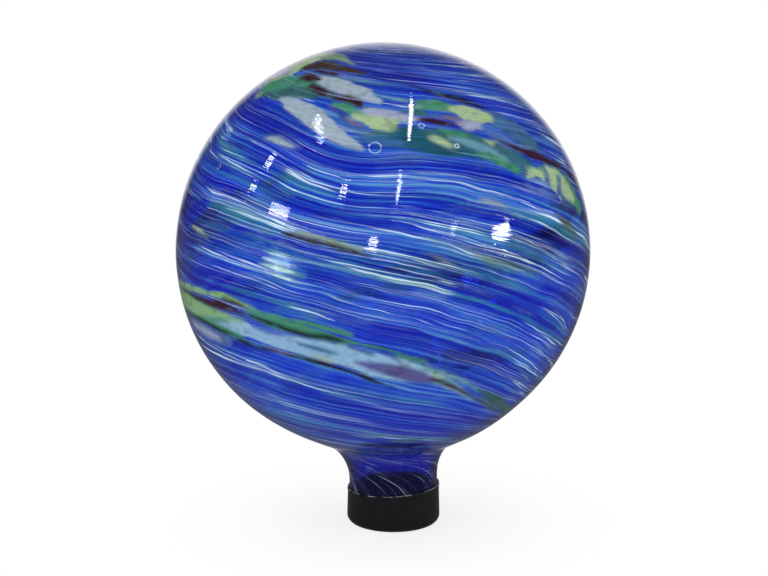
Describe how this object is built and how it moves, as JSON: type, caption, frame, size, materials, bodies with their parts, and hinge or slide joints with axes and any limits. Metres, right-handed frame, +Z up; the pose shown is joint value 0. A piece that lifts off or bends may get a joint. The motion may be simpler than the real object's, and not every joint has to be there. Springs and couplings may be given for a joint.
{
  "type": "garden gazing ball",
  "caption": "Hollow ball of swirled cobalt glass, drawn out below into a short open neck that is closed by a black push-on cap.",
  "frame": {"origin": "centre of the flat underside of the end cap, on the axis of the glass neck", "axes": "+Z up, from the cap through the neck to the ball; +X to the right as the picture shows it; +Y away from the viewer. The ball's centre lies 6.5 mm from the neck's axis, on the -X side"},
  "size_m": [0.254, 0.254, 0.3],
  "materials": {
    "swirled_glass": "glossy blown cobalt glass with white trails, opal patches and green and maroon chips fused in",
    "cap_rubber": "satin black moulded soft vinyl"
  },
  "bodies": {
    "cap": {"end_cap": "cap_rubber"},
    "ball": {"glass_globe": "swirled_glass"}
  },
  "joints": [
    {"name": "neck_in_cap", "type": "slide", "parent": "cap", "child": "ball", "axis": [0, 0, 1], "range_m": [0, 0.08]}
  ]
}
